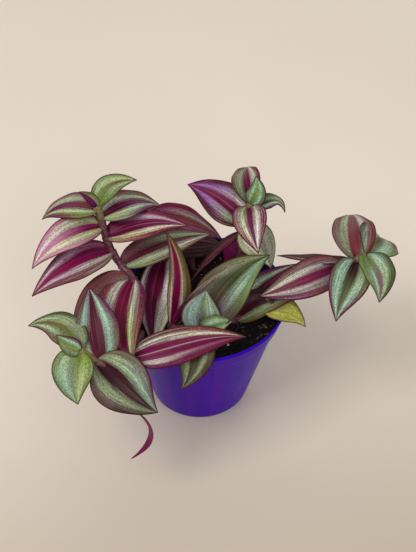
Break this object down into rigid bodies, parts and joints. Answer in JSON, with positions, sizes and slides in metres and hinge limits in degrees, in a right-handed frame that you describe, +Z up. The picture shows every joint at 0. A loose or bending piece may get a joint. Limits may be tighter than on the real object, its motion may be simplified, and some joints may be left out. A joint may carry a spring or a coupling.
{
  "type": "potted tradescantia",
  "caption": "House plant with trailing and upright leafy stems of striped pointed leaves, standing in the soil of a small round tapered nursery pot with a rim band",
  "frame": {"origin": "middle of the pot's flat base, on the surface it stands on", "axes": "+Z up along the pot's axis, the pictured side faces -Y, +X is to the right in the picture"},
  "size_m": [0.2058, 0.1633, 0.1424],
  "materials": {
    "pot_plastic": "glossy violet moulded plastic",
    "soil": "dark crumbly potting mix",
    "leaf": "soft glossy leaves, silver-green and maroon stripes, magenta underneath"
  },
  "bodies": {
    "root": {"pot": "pot_plastic", "soil": "soil", "stem_tall_left": "leaf", "stem_back_left": "leaf", "stem_tall_middle": "leaf", "stem_long_right": "leaf", "stem_front_left": "leaf", "stem_low_middle": "leaf", "stem_rim_right": "leaf", "stem_back_trailing": "leaf"}
  },
  "joints": []
}
